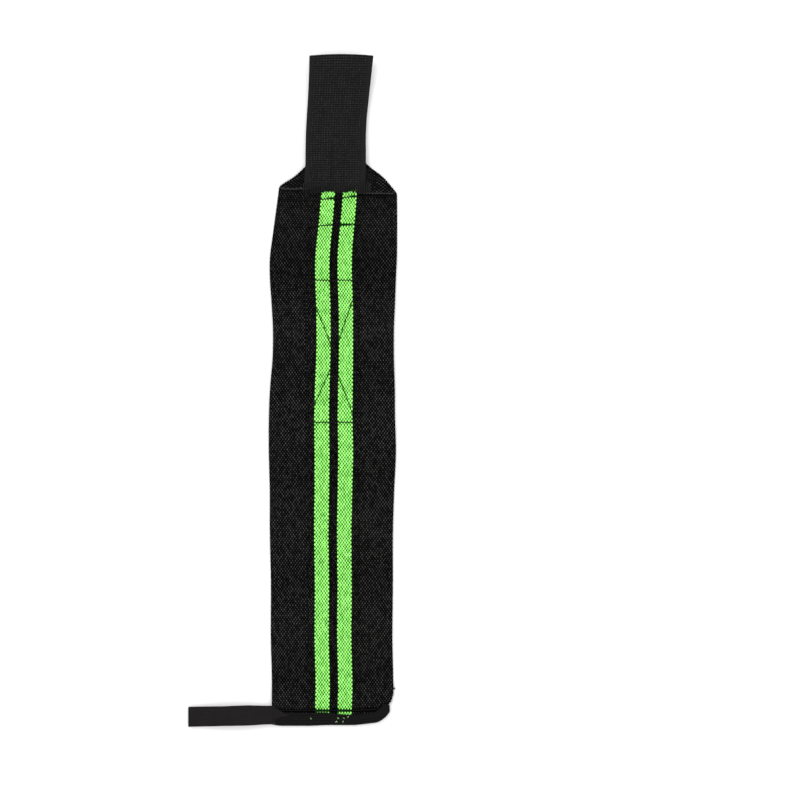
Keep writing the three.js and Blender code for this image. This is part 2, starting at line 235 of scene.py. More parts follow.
def seam_across(left_y, stripe_left, stripe_right, right_y):
    """A row of stitches right across the band, as it wanders a little on the stretchy cloth."""
    left_x = float(left_selvedge(left_y)) + seam_inset
    right_x = float(right_selvedge(right_y)) - seam_inset
    return [(left_x, left_y), stripe_left, stripe_right, (right_x, right_y)]


# Every row of stitches, as points on the band: two rows right across, the loop panel's box,
# which is narrower at its foot, the cross in the box, and the row above the binding.
box_left, box_right, box_low, box_top = -17.5, 17.6, 8.4, 100.4
foot_left, foot_right = box_left + 1.5, box_right - 3.5
down_to_right = [(-2.0, 61.7), (3.5, 39.6), (11.9, 17.6)]
down_to_left = [(3.8, 60.4), (-2.35, 40.3), (-11.4, 20.2)]
band_seams = [
    seam_across(152.2, (-8.5, 152.65), (14.7, 154.66), 155.0),
    seam_across(135.5, (-9.3, 135.7), (14.4, 136.9), 137.2),
    [(box_left, box_top), (box_right, box_top)],
    [(foot_left, box_low), (foot_right, box_low)],
    [(foot_left, box_low), (box_left, box_top)],
    [(foot_right, box_low), (box_right, box_top)],
]
cross_seams = [
    [(box_left, box_top), *down_to_right, (foot_right, box_low)],
    [(box_right, box_top), *down_to_left, (foot_left, box_low)],
]
end_seam_height, end_seam_turn = 6.7, 0.45
end_seam_inset, end_seam_stop = 2.5, 34.4
end_seam_x = np.linspace(float(left_selvedge(bound_end)) + end_seam_inset, end_seam_stop, 24)
end_seam_y = bound_end + end_seam_height + end_seam_turn * corner_rise(end_seam_x)
band_seams.append(list(zip(end_seam_x.tolist(), end_seam_y.tolist())))


def near_stitches(seams, x, y, reach):
    """1 on a row of stitches through the band, falling to 0 some way off."""
    nearest = np.full(np.shape(x), 99.0)
    for seam in seams:
        for (x0, y0), (x1, y1) in zip(seam[:-1], seam[1:]):
            run = (x1 - x0) ** 2 + (y1 - y0) ** 2
            share = np.clip(((x - x0) * (x1 - x0) + (y - y0) * (y1 - y0)) / run, 0, 1)
            gap = np.hypot(x - x0 - share * (x1 - x0), y - y0 - share * (y1 - y0))
            nearest = np.minimum(nearest, gap)
    return np.exp(-((nearest / reach) ** 2))


# Beyond the fold lines the selvedges run out a little, so the turned corners lie lower at the
# band's sides. The right corner is also cut back a little at the raw end.
left_spread, left_spread_end, right_spread, spread_start = 2.1, -0.5, 1.6, 0.12
right_cut, cut_across, cut_down = 2.4, (0.6, 0.66), 14


def corner_spread(flat_y, down, at_fold, at_end):
    """How far the selvedge of a turned corner stands out from the band's own line."""
    share = np.clip((flat_y - raw_end + down) / down, 0, 1)
    return eased(share, 0, spread_start) * (at_fold + (at_end - at_fold) * share)


# Below the strap the warp drifts to the left, and the stripes are drawn together. How much,
# then the middle of that stretch, its reach along the band and its reach across.
warp_drift, drift_middle, drift_reach = 3.6, 118, 22
warp_squeeze, squeeze_middle, squeeze_reach, squeeze_across = 0.08, 120, 34, 20
stripe_middle = 1.6


def warp_course(u, flat_y):
    """How far to the right the warp lies, from the left selvedge, 0, to the right one, 1."""
    x = left_selvedge(flat_y) * (1 - u) + uncut_edge(flat_y) * u
    x = x - warp_drift * u * (1 - u) * np.exp(-(((flat_y - drift_middle) / drift_reach) ** 2))
    from_stripes = x - stripe_middle
    far = ((flat_y - squeeze_middle) / squeeze_reach) ** 2 + (from_stripes / squeeze_across) ** 2
    x = x - warp_squeeze * np.exp(-far) * from_stripes
    x = x - corner_spread(flat_y, left_fold_down, left_spread, left_spread_end) * (1 - u) ** 5
    return x + corner_spread(flat_y, right_fold_down, right_spread, 0) * u**5


# The weave: columns of raised floats with pits between them. A pit, the weave's sides and the
# grooves of the stitching lie below the floats, and the cut corner's cloth is gathered in.
warp_columns, weft_rows = 86, 282
wide = 2 * warp_columns + 1
stripe_columns = [range(31, 41), range(47, 57)]
float_depth, edge_depth = 0.5, 0.2
zigzag, weft_bump = 0.24, 0.16
selvedge_round, selvedge_tightness = 1.2, 0.4
stitch_depth, stitch_reach = 0.35, 0.9
cross_depth, cross_reach = 0.2, 0.6
corner_gather = 0.97

# Its shades, from a pit, 0, to a float, 1: painted shade in the pits, half of it on the weave's
# sides, and a painted highlight on the floats. Near the strap the painted highlights are weaker
# and the painted pit shade lighter, the columns beside the stripes are plainer, and painted shade
# darkens the cloth along the rows of stitches. The lower face's selvedges, which lie on top at the
# turned corners, catch the light as a painted highlight.
side_shade, float_shades = 0.45, (0.8, 1.1)
dull_low, dull_high, highlight_loss, pit_shade_loss = 70, 130, 0.3, 0.19
plain_columns, plain_between, plain_beside = 6, 0.92, 0.96
seam_shade_green, seam_shade_black, seam_shade_reach = 0.75, 0.2, 0.4
cross_seam_shade, cross_seam_shade_reach = 0.5, 0.35
end_seam_shade, end_seam_shade_reach = 0.8, 0.8
turned_edge, turned_length, turned_float, turned_pit = 0.9, 26, 0.82, 0.66
draw = np.random.default_rng(7)

# The elastic yarns pull unevenly along the band, so the black cloth changes slowly from darker
# to lighter and back along its length.
slow_step, slow_length, slow_start, slow_contrast = 12, 10.4, 0.9, 0.035
slow_rows = np.arange(bound_end, raw_end + 2 * slow_step, slow_step)
slow_relief = slow_contrast * np.sin(slow_rows / slow_length + slow_start)
slow_relief = slow_relief * np.random.default_rng(3).uniform(0.2, 1, len(slow_rows))


def weave_shades(on_column, raised, column, x, y, flat_y):
    """Painted shade and highlight at each point of the weave, from the shaded pit to the lit float,
    with the yarn's own uneven tone.
    """
    relief = np.where(on_column, np.where(raised, 1.0, 0.0), side_shade)
    relief = relief * draw.uniform(*float_shades, relief.shape)
    off_stripes = np.full(column.shape, warp_columns)
    for stripe in stripe_columns:
        off_stripes = np.minimum(off_stripes, np.maximum(stripe[0] - column, column - stripe[-1]))
    in_stripes = off_stripes <= 0
    # Near the strap the floats' painted highlights are weaker and the painted pit shade lighter.
    near_top = eased(flat_y, dull_low, dull_high)
    dulled = relief * (1 - highlight_loss * near_top) + pit_shade_loss * near_top
    relief = np.where(in_stripes, relief, dulled)
    between = (column > stripe_columns[0][-1]) & (column < stripe_columns[1][0])
    plain = ~in_stripes & (off_stripes <= plain_columns)
    relief = np.where(plain, np.where(between, plain_between, plain_beside) * relief, relief)
    relief = relief * np.where(in_stripes, 1, 1 + np.interp(flat_y, slow_rows, slow_relief))
    # Painted shade along the rows of stitches, where the cloth is drawn into grooves: deeper on the
    # green stripes, fainter on the black and along the cross, and strongest along the end seam.
    seam_shade = np.where(in_stripes, seam_shade_green, seam_shade_black)
    relief = relief * (1 - seam_shade * near_stitches(band_seams, x, y, seam_shade_reach))
    seam_shade = cross_seam_shade * seam_shade
    relief = relief * (1 - seam_shade * near_stitches(cross_seams, x, y, cross_seam_shade_reach))
    return relief * (1 - end_seam_shade * near_stitches(band_seams[-1:], x, y, end_seam_shade_reach))


def on_cloth(across, along):
    """Where points lie on their own cloth, in millimetres, which the fibres' pattern follows."""
    return np.stack([across, along, 0 * along], axis=-1).reshape(-1, 3)


def weave_face(face):
    """One face of the webbing: a raised float every second row, staggered in each column."""
    row, line = np.arange(weft_rows + 1)[:, None], np.arange(wide)[None, :]
    column, on_column = line // 2, line % 2 == 1
    raised = ((column + row) % 2 == 0) == (face > 0)
    inner = (line > 0) & (line < wide - 1)
    u = (line + 0 * row) / (wide - 1)
    u = u + np.where(on_column | ~inner, 0, np.where(raised, -zigzag, zigzag) / band_width)
    v = (row + 0 * line) / weft_rows
    flat_y = bound_end + band_length * v
    flat_y = flat_y - right_cut * eased(u, *cut_across) * eased(flat_y, raw_end - cut_down, raw_end)
    x = warp_course(u, flat_y)
    near_corner = flat_y < bound_end + corner_fade
    past_selvedge = np.where(near_corner, np.maximum(0, x - right_edge(flat_y)), 0)
    x = x - corner_gather * past_selvedge
    x = x + np.where(inner, 0, np.where(raised, 0.5, -0.5) * weft_bump * np.sign(u - 0.5))
    past_end = np.maximum(0, bound_end + corner_rise(x) - flat_y)
    y = flat_y + corner_gather * past_end
    from_selvedge = band_width * np.minimum(u, 1 - u)
    rounding = 0.5 + 0.5 * np.sin(np.pi / 2 * np.clip(from_selvedge / selvedge_round, 0, 1))
    sunk = np.where(on_column, np.where(raised, 0, float_depth), edge_depth)
    sunk = sunk * np.clip(selvedge_tightness + from_selvedge, 0, 1)
    sunk = sunk + stitch_depth * near_stitches(band_seams, x, y, stitch_reach)
    sunk = sunk + cross_depth * near_stitches(cross_seams, x, y, cross_reach)
    sunk = np.where(past_end + past_selvedge > 0, edge_depth, sunk)
    lift = face * (band_thickness / 2 * rounding - sunk)
    point = fold_over(x, y, band_underside(x, y) + band_thickness / 2, lift)
    relief = weave_shades(on_column, raised, column, x, y, flat_y)
    lit = (face < 0) & (flat_y > raw_end - turned_length) & (from_selvedge < turned_edge)
    relief = np.where(lit, np.where(raised, turned_float, turned_pit), relief)
    return point.reshape(-1, 3), relief.ravel(), on_cloth(band_width * u, band_length * v)


def weave_quads(face, first):
    """Quads of one face, each starting at its float, so that the float stays a full ridge."""
    row, line = np.arange(weft_rows)[:, None], np.arange(wide - 1)[None, :]
    here = row * wide + line
    a, b, c, d = here, here + 1, here + wide + 1, here + wide
    left_is_column = line % 2 == 1
    column = line // 2
    raised_low = ((column + row) % 2 == 0) == (face > 0)
    start = np.where(left_is_column, np.where(raised_low, 0, 3), np.where(raised_low, 1, 2))
    ring = np.stack([a, b, c, d], axis=-1)
    if face < 0:
        ring = ring[..., ::-1]
        start = 3 - start
    turn = (start[..., None] + np.arange(4)) % 4
    quads = np.take_along_axis(ring, turn, axis=-1).reshape(-1, 4) + first
    return quads, np.broadcast_to(column, here.shape).ravel()


origin = np.mean(np.array(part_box("loop_panel")), axis=0) * 1000
origin = np.array([origin[0] - panel_shift, origin[1] - (panel_low_end + panel_top_end) / 2, 0])


def add_object(name, data):
    """A new object in the scene."""
    added = bpy.data.objects.new(name, data)
    bpy.context.scene.collection.objects.link(added)
    return added


def make_piece(name, points, faces, finishes, relief, cloth):
    """A mesh of points in millimetres, set down where the solids lie."""
    mesh = bpy.data.meshes.new(name)
    mesh.from_pydata(((np.asarray(points) + origin) / 1000).tolist(), [], [list(f) for f in faces])
    for finish in finishes:
        mesh.materials.append(finish)
    mesh.shade_smooth()
    mesh.attributes.new("relief", "FLOAT", "POINT").data.foreach_set("value", relief)
    mesh.attributes.new("cloth", "FLOAT_VECTOR", "POINT").data.foreach_set("vector", cloth.ravel())
    mesh.update()
    return add_object(name, mesh)


def set_inputs(node, values):
    """Gives a shader's node its values."""
    for socket, value in values.items():
        node.inputs[socket].default_value = value
    return node


# Every yarn is a little uneven in shade and roughness, and its fibres stand up a little. The
# patches' and the fibres' patterns are so many to a millimetre of cloth.
patch_scale, patch_detail, fibre_detail = 0.16, 6, 3
shade_spread, roughness_spread, sheen_roughness = 0.28, 0.08, 0.5
fibre_bump, fibre_rise = 0.35, 0.0002


def yarn_finish(name, shades, roughness, specular, sheen=0.0, fibre=(9.0, 0.8)):
    """Yarn coloured by its relief, from pit to float, with fine fibres along it. Where the relief
    follows the weave or the ribs it paints shade into the low places and a highlight onto the
    high ones.

    A shade is a height and its colour, or one number for a grey."""
    finish = bpy.data.materials.new(name)
    finish.use_nodes = True
    nodes, links = finish.node_tree.nodes, finish.node_tree.links
    shader = nodes["Principled BSDF"]
    set_inputs(shader, {"Specular IOR Level": specular, "Sheen Weight": sheen})
    set_inputs(shader, {"Sheen Roughness": sheen_roughness})
    relief = nodes.new("ShaderNodeAttribute")
    relief.attribute_name = "relief"
    cloth = nodes.new("ShaderNodeAttribute")
    cloth.attribute_name = "cloth"
    by_depth = nodes.new("ShaderNodeValToRGB")
    stops = by_depth.color_ramp.elements
    while len(stops) < len(shades):
        stops.new(0.5)
    for stop, (height, colour) in zip(stops, shades):
        stop.position = height
        stop.color = (*np.broadcast_to(colour, 3).tolist(), 1)
    links.new(relief.outputs["Fac"], by_depth.inputs["Fac"])
    uneven = nodes.new("ShaderNodeTexNoise")
    set_inputs(uneven, {"Scale": patch_scale, "Detail": patch_detail})
    links.new(cloth.outputs["Vector"], uneven.inputs["Vector"])
    shade = nodes.new("ShaderNodeMapRange")
    set_inputs(shade, {"To Min": 1 - shade_spread, "To Max": 1 + shade_spread})
    links.new(uneven.outputs["Fac"], shade.inputs["Value"])
    tinted = set_inputs(nodes.new("ShaderNodeMix"), {0: 1})
    tinted.data_type = "RGBA"
    tinted.blend_type = "MULTIPLY"
    links.new(by_depth.outputs["Color"], tinted.inputs[6])
    links.new(shade.outputs["Result"], tinted.inputs[7])
    links.new(tinted.outputs[2], shader.inputs["Base Color"])
    stretched = set_inputs(nodes.new("ShaderNodeMapping"), {"Scale": (*fibre, 1)})
    links.new(cloth.outputs["Vector"], stretched.inputs["Vector"])
    fibres = set_inputs(nodes.new("ShaderNodeTexNoise"), {"Scale": 1, "Detail": fibre_detail})
    links.new(stretched.outputs["Vector"], fibres.inputs["Vector"])
    rough = nodes.new("ShaderNodeMapRange")
    range_of_rough = {"To Min": roughness - roughness_spread, "To Max": roughness + roughness_spread}
    set_inputs(rough, range_of_rough)
    links.new(fibres.outputs["Fac"], rough.inputs["Value"])
    links.new(rough.outputs["Result"], shader.inputs["Roughness"])
    raised = set_inputs(nodes.new("ShaderNodeBump"), {"Strength": fibre_bump, "Distance": fibre_rise})
    links.new(fibres.outputs["Fac"], raised.inputs["Height"])
    links.new(raised.outputs["Normal"], shader.inputs["Normal"])
    return finish


# The webbing's ramps: the dark low stops are painted shade in the pits, the bright top stops painted
# highlights on the floats.
black_shades = [(0.0, 0.0003), (0.6, 0.001), (1.0, (0.065, 0.066, 0.064))]
green_shades = [
    (0.0, (0.001, 0.015, 0.0003)),
    (0.46, (0.006, 0.085, 0.002)),
    (0.58, (0.23, 0.79, 0.104)),
    (0.82, (0.455, 1.0, 0.285)),
]
black_yarn = yarn_finish("black_yarn", black_shades, roughness=0.85, specular=0.02)
green_yarn = yarn_finish("green_yarn", green_shades, roughness=0.8, specular=0.1)


def rim_quads(rows, lines):
    """The edge between two grids of points that match, along their four sides."""
    count = rows * lines
    quads = []
    for rim, outward in (
        (np.arange(rows) * lines, True),
        (np.arange(rows) * lines + lines - 1, False),
        (np.arange(lines), False),
        (np.arange(lines) + (rows - 1) * lines, True),
    ):
        a, b = rim[:-1], rim[1:]
        ring = np.stack([a, b, b + count, a + count], axis=1)
        quads.append(ring if outward else ring[:, ::-1])
    return np.concatenate(quads)


upper, upper_relief, upper_cloth = weave_face(1)
lower, lower_relief, lower_cloth = weave_face(-1)
upper_quads, quad_columns = weave_quads(1, 0)
lower_quads, _ = weave_quads(-1, len(upper))
webbing = make_piece(
    "wrap_webbing",
    np.concatenate([upper, lower]),
    np.concatenate([upper_quads, lower_quads, rim_quads(weft_rows + 1, wide)]),
    [black_yarn, green_yarn],
    np.concatenate([upper_relief, lower_relief]),
    np.concatenate([upper_cloth, lower_cloth]),
)
striped = [column for stripe in stripe_columns for column in stripe]
in_stripe = np.isin(quad_columns, striped)
end_in_stripe = np.isin(np.arange(wide - 1) // 2, striped)
no_stripe = np.zeros(weft_rows, bool)
yarn_of_face = [in_stripe, in_stripe, no_stripe, no_stripe, end_in_stripe, end_in_stripe]
webbing.data.polygons.foreach_set("material_index", np.concatenate(yarn_of_face).astype(np.int32))
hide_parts("wrap_band")
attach(webbing, "root")

# Stitching through the band
# Black thread: two rows right across below the folded corners, a box with a cross in it
# that holds the loop panel, and the row that holds the bound end.
thread_radius, fine_radius = 0.33, 0.22
stitch_length, stitch_arch, cross_arch, lower_arch = 2.9, 0.3, 0.5, -0.2
stitch_shares = np.array([0.04, 0.22, 0.5, 0.78, 0.96])
stitch_rises = np.array([-1.0, -0.1, 0.1, -0.1, -1.0])
thread_sink, thread_in_pile, thread_in_groove = 0.2, 0.05, 0.24
panel_underside = 0.5


def tubes(paths, radius, sides, reference=(0.0, 0.0, 1.0)):
    """Round threads along many paths of equal point count, as points and faces."""
    paths = np.asarray(paths, float)
    count, steps, _ = paths.shape
    along = np.gradient(paths, axis=1)
    along /= np.linalg.norm(along, axis=-1, keepdims=True)
    aside = np.cross(along, np.asarray(reference, float))
    aside /= np.maximum(np.linalg.norm(aside, axis=-1, keepdims=True), 1e-9)
    above = np.cross(aside, along)
    turn = 2 * np.pi * np.arange(sides) / sides
    radius = np.broadcast_to(np.asarray(radius, float), (count, steps))[:, :, None, None]
    ring = aside[:, :, None] * np.cos(turn)[:, None] + above[:, :, None] * np.sin(turn)[:, None]
    points = (paths[:, :, None] + radius * ring).reshape(-1, 3)
    first = (np.arange(count) * steps * sides)[:, None]
    here = first[..., None] + (np.arange(steps - 1) * sides)[:, None]
    k = np.arange(sides)
    after = (k + 1) % sides
    walls = np.stack([here + k, here + after, here + sides + after, here + sides + k], axis=-1)
    starts, ends = first + k[::-1], first + (steps - 1) * sides + k
    return points, [*walls.reshape(-1, 4).tolist(), *starts.tolist(), *ends.tolist()]


def band_top(x, y):
    return band_underside(x, y) + band_thickness


def stitches_along(line, height, length=stitch_length, arch=stitch_arch):
    """Paths of the single stitches along a line, each rising out of the cloth and back in."""
    line = np.asarray(line, float)
    run = np.concatenate([[0], np.cumsum(np.hypot(*np.diff(line, axis=0).T))])
    count = max(1, int(round(run[-1] / length)))
    at = (np.arange(count)[:, None] + stitch_shares) * run[-1] / count
    x, y = np.interp(at, run, line[:, 0]), np.interp(at, run, line[:, 1])
    return np.stack([x, y, height(x, y) + stitch_rises * arch], axis=-1)


def thread_piece(name, paths, radius, finish, sides=6, relief=0.8):
    """One joined mesh of threads. A relief for each path sets how light each thread is."""
    paths = np.concatenate(paths)
    points, faces = tubes(paths, radius, sides)
    cloth = np.stack([points[:, 1], points[:, 0], points[:, 2]], axis=1)
    relief = np.repeat(np.broadcast_to(relief, len(paths)), paths.shape[1] * sides)
    return make_piece(name, points, faces, [finish], relief, cloth)


thread_shades = [(0.0, 0.002), (1.0, 0.008)]
black_thread = yarn_finish("black_thread", thread_shades, roughness=0.6, specular=0.06)


def pulled_in(x, y):
    """Height of the upper thread, pulled down into the band's upper face."""
    return band_top(x, y) - thread_sink


def pulled_up(x, y):
    """Height of the lower thread: in its groove under the band, or in the loop panel's pile."""
    on_panel = (np.abs(x - panel_shift) < panel_width / 2) & (y > panel_low_end) & (y < panel_top_end)
    in_groove = np.maximum(band_underside(x, y), 0) + thread_in_groove
    return np.where(on_panel, panel_underside - thread_in_pile, in_groove)


seams = [stitches_along(seam, pulled_in) for seam in band_seams]
crosses = [stitches_along(seam, pulled_in, stitch_length, cross_arch) for seam in cross_seams]
lower_threads = [
    stitches_along(seam, pulled_up, stitch_length, lower_arch) for seam in band_seams + cross_seams
]
radii = [np.full(len(path), thread_radius) for path in seams]
radii += [np.full(len(path), fine_radius) for path in crosses + lower_threads]
band_stitching = thread_piece(
    "band_stitching", seams + crosses + lower_threads, np.concatenate(radii)[:, None], black_thread
)
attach(band_stitching, "root")

# Loop panel
# A length of loop tape sewn to the outer face of the band, under it as it lies. It is a thin
# knitted backing with a dense pile of small loops, which the strap's hooks grip.
pile_height = panel_underside
panel_radius = 1.5
panel_middle = (panel_low_end + panel_top_end) / 2
knit_step, knit_depth, knit_shade = 0.8, 0.08, 0.6


def grid_shell(outer, inner):
    """A closed shell between two grids of points that match, as points and faces."""
    rows, lines, _ = outer.shape
    row, line = np.meshgrid(np.arange(rows - 1), np.arange(lines - 1), indexing="ij")
    a = (row * lines + line).ravel()
    quad = np.stack([a, a + 1, a + lines + 1, a + lines], axis=1)
    faces = np.concatenate([quad, quad[:, ::-1] + rows * lines, rim_quads(rows, lines)])
    return np.concatenate([outer.reshape(-1, 3), inner.reshape(-1, 3)]), faces


panel_lines, panel_rows = int(panel_width / knit_step), int(panel_length / knit_step)
u, v = np.meshgrid(np.linspace(-1, 1, panel_lines + 1), np.linspace(-1, 1, panel_rows + 1))
x, y = u * panel_width / 2, v * panel_length / 2
corner_x_from, corner_y_from = panel_width / 2 - panel_radius, panel_length / 2 - panel_radius
over_x, over_y = np.abs(x) - corner_x_from, np.abs(y) - corner_y_from
in_corner = (over_x > 0) & (over_y > 0)
pull = np.maximum(over_x, over_y) / np.maximum(np.hypot(over_x, over_y), 1e-9)
x = np.where(in_corner, np.sign(x) * (corner_x_from + over_x * pull), x)
y = np.where(in_corner, np.sign(y) * (corner_y_from + over_y * pull), y)
checker = np.add.outer(np.arange(panel_rows + 1), np.arange(panel_lines + 1)) % 2
top = np.stack([x + panel_shift, y + panel_middle, np.full(x.shape, panel_thickness)], axis=-1)
bottom = np.stack([x + panel_shift, y + panel_middle, pile_height + knit_depth * checker], axis=-1)
points, faces = grid_shell(top, bottom)
# The knit's recessed cells on the underside are darkened with painted shade.
relief = np.concatenate([np.full(x.size, knit_shade), 1 - checker.ravel()])
pile_shades = [(0.0, 0.003), (1.0, 0.014)]
knit = yarn_finish("pile_yarn", pile_shades, roughness=0.9, specular=0.12, sheen=0.05)
pile_panel = make_piece("pile_panel", points, faces, [knit], relief, points)

# The pile's loops stand in rows, a little scattered, each bent its own way, with both ends in
# the backing and its top just clear of the table.
pile_pitch, pile_inset, pile_stop, pile_scatter = 1.25, 1.2, 1.0, 0.3
pile_reach, pile_radius, pile_root, pile_clear = 0.55, 0.08, 0.1, 0.02
tuft_x, tuft_y = np.meshgrid(
    np.arange(-panel_width / 2 + pile_inset, panel_width / 2 - pile_stop, pile_pitch),
    np.arange(-panel_length / 2 + pile_inset, panel_length / 2 - pile_stop, pile_pitch),
)
tuft_x, tuft_y = tuft_x.ravel(), tuft_y.ravel()
tuft_x = tuft_x + draw.uniform(-pile_scatter, pile_scatter, tuft_x.size) + panel_shift
tuft_y = tuft_y + draw.uniform(-pile_scatter, pile_scatter, tuft_y.size) + panel_middle
lean = draw.uniform(0, 2 * np.pi, tuft_x.size)[:, None]
bend = np.linspace(0, np.pi, 6)
loop_out, loop_down = pile_reach * np.cos(bend), np.sin(bend)
tufts = np.stack(
    [
        tuft_x[:, None] + np.cos(lean) * loop_out,
        tuft_y[:, None] + np.sin(lean) * loop_out,
        pile_height + pile_root - (pile_height - pile_clear) * loop_down + 0 * lean,
    ],
    axis=-1,
)
points, faces = tubes(tufts, pile_radius, 4, (0.3, 0.5, 0.2))
pile = make_piece("pile_loops", points, faces, [knit], np.full(len(points), 1.0), points)
for piece in (pile_panel, pile):
    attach(piece, "root")
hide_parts("loop_panel")

# Hook strap
# Nylon tape woven with a smooth selvedge down each side and a field of fine hooks between
# them. It lies over the folded corners, dips between them and curls up a little at its end.
strap_width, strap_length, strap_overlap = 40.0, 85.0, 23.0
strap_low = raw_end - strap_overlap
strap_backing, hook_height, hook_margin = 0.9, 0.8, 3.0
strap_shift, strap_lean, strap_curl = 1.6, 4.2, 6.0
strap_crown, crown_from, curl_loss, curl_from = 1.0, 0.9, 0.95, 0.45
clip_length, clip_width = 5.0, 3.6
# Share of the length, then the strap's width, lean and curl as shares of their full sizes.
strap_sections = np.array(
    [
        (0.0, 1.005, 0.0, 0.0),
        (0.17, 0.982, 0.14, 0.0),
        (0.27, 0.978, 0.15, 0.0),
        (0.4, 0.973, 0.18, -0.14),
        (0.53, 0.974, 0.31, -0.22),
        (0.67, 0.986, 0.55, -0.08),
        (0.82, 1.004, 0.79, 0.34),
        (1.0, 1.034, 1.06, 1.0),
    ]
)
flap_left, flap_right = -5.3, 12.6
dip_margin, dip_ease, dip_loss = 2.2, 4.0, 0.4
dip_left, dip_right = flap_left + dip_margin, flap_right - dip_margin


def strap_underside(x, y):
    """The strap bridges the two turned corners and dips onto the band between them."""
    between = eased(x, dip_left, dip_left + dip_ease) * (1 - eased(x, dip_right - dip_ease, dip_right))
    stiffened = 1 - dip_loss * eased(y, strap_low, raw_end - dip_ease)
    on_band = 1 - eased(y, raw_end - dip_ease, raw_end + 2 * dip_ease)
    return flap_top + sewn_gap - (flap_top - band_thickness) * between * on_band * stiffened


def strap_point(u, v, above):
    """A point of the strap, above its underside by the given height."""
    width = strap_width * read_table(strap_sections, 1, v)
    x = strap_shift + strap_lean * read_table(strap_sections, 2, v) + (u - 0.5) * width
    crown = strap_crown * (1 - (2 * u - 1) ** 2) * eased(v, crown_from, 1)
    clip = clip_length * np.clip(1 - strap_width * (1 - u) / clip_width, 0, 1)
    clip = clip * (1 - eased(v, 0, 3 * clip_length / strap_length))
    y = strap_low + strap_length * v - strap_crown + crown + clip - curl_loss * eased(v, curl_from, 1)
    z = strap_underside(x, y) + strap_curl * read_table(strap_sections, 3, v) + above
    return np.stack([x, y, z], axis=-1)


# The tape's own weave: fine cells, a ridge inside each rounded selvedge, and a rib of weft
# under each row of hooks. Its shades follow the same cells and ribs: painted shade in the
# recessed cells of both faces and in the grooves between the ribs, and a painted highlight on
# the ribs.
hook_pitch_across, hook_pitch_along = 1.75, 1.46
tape_lines, tape_rows = 92, 232
cell_depth, rib_depth, field_ease = 0.08, 0.2, 0.8
rim_width, rim_drop = 0.5, 0.3
ridge_height, ridge_in, ridge_width = 0.12, 0.9, 0.5
tape_shade, cell_shade, rib_shade, field_shade, lower_cell_shade = 0.66, 0.3, 0.95, 0.5, 0.5
u, v = np.meshgrid(np.linspace(0, 1, tape_lines + 1), np.linspace(0, 1, tape_rows + 1))
checker = np.add.outer(np.arange(tape_rows + 1), np.arange(tape_lines + 1)) % 2
from_edge = strap_width * np.minimum(u, 1 - u)
rounded = np.clip(from_edge / rim_width, 0, 1)
ridge = ridge_height * np.exp(-(((from_edge - ridge_in) / ridge_width) ** 2))
in_field = eased(from_edge, hook_margin - field_ease, hook_margin)
weft_rib = 0.5 + 0.5 * np.cos(2 * np.pi * strap_length * v / hook_pitch_along)
top = strap_backing - rim_drop * (1 - rounded) - cell_depth * checker
top = top + ridge - rib_depth * in_field * (1 - weft_rib)
bottom = rim_drop * (1 - rounded) + cell_depth * checker
points, faces = grid_shell(strap_point(u, v, top), strap_point(u, v, bottom))
shade = tape_shade - cell_shade * checker + in_field * (rib_shade * weft_rib - field_shade)
relief = np.concatenate([shade.ravel(), 1 - lower_cell_shade * checker.ravel()])
cloth = on_cloth(strap_width * u, strap_length * v)
nylon_shades = [(0.0, 0.0004), (1.0, (0.019, 0.0195, 0.0198))]
nylon = yarn_finish(
    "strap_nylon", nylon_shades, roughness=0.65, specular=0.05, fibre=(1.5, 9.0)
)
cloth = np.concatenate([cloth, cloth])
strap_tape = make_piece("strap_tape", points, faces, [nylon], relief, cloth)

# Each hook is a bent thread: it stands up, turns over and points to one side, every second
# column the other way. None stands where the strap's corner is clipped.
hook_radius, hook_sides, hook_stagger, hook_back, hook_root = 0.17, 5, 0.25, 0.25, 0.08
hookless_end = 1.5
hook_scatter, hook_sway, hook_lights, clip_clear = 0.14, 0.3, (0.1, 0.85), 1.3
hook_rise = np.array([0.0, 0.35, 0.62, 0.75, 0.66, 0.48])
hook_reach = np.array([0.0, 0.02, 0.1, 0.3, 0.5, 0.55])
hooks_across = int((strap_width - 2 * hook_margin) / hook_pitch_across)
hooks_along = int((strap_length - hookless_end) / hook_pitch_along)
k, j = np.meshgrid(np.arange(hooks_across), np.arange(hooks_along))
hook_u = (hook_margin + hook_pitch_across * (k + 0.5)).ravel() / strap_width
hook_v = hook_pitch_along * (j + 1 + hook_stagger * (k % 2)).ravel() / strap_length
from_clip = (1 - hook_u) * strap_width / clip_width + hook_v * strap_length / clip_length
kept = from_clip > clip_clear
hook_u, hook_v, side = hook_u[kept], hook_v[kept], (k % 2).ravel()[kept]
foot = strap_point(hook_u, hook_v, strap_backing)
facing = np.where(side == 0, 1.0, -1.0)[:, None]
scatter = draw.normal(0, hook_scatter, (len(foot), 2))
sway = draw.normal(0, hook_sway, (len(foot), 1))
hooks = np.stack(
    [
        foot[:, 0:1] + scatter[:, 0:1] + sway * hook_reach,
        foot[:, 1:2] + scatter[:, 1:2] + facing * (hook_reach - hook_back),
        foot[:, 2:3] - hook_root + hook_rise * hook_height / hook_rise.max(),
    ],
    axis=-1,
)
points, faces = tubes(hooks, hook_radius, hook_sides, (1.0, 0.0, 0.0))
hook_shades = [(0.0, (0.002, 0.002, 0.0021)), (1.0, (0.07, 0.07, 0.073))]
hook_nylon = yarn_finish("hook_nylon", hook_shades, roughness=0.5, specular=0.1)
hook_relief = np.repeat(draw.uniform(*hook_lights, len(hooks)), hooks.shape[1] * hook_sides)
strap_hooks = make_piece("strap_hooks", points, faces, [hook_nylon], hook_relief, points)
for piece in (strap_tape, strap_hooks):
    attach(piece, "root")
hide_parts("hook_strap")

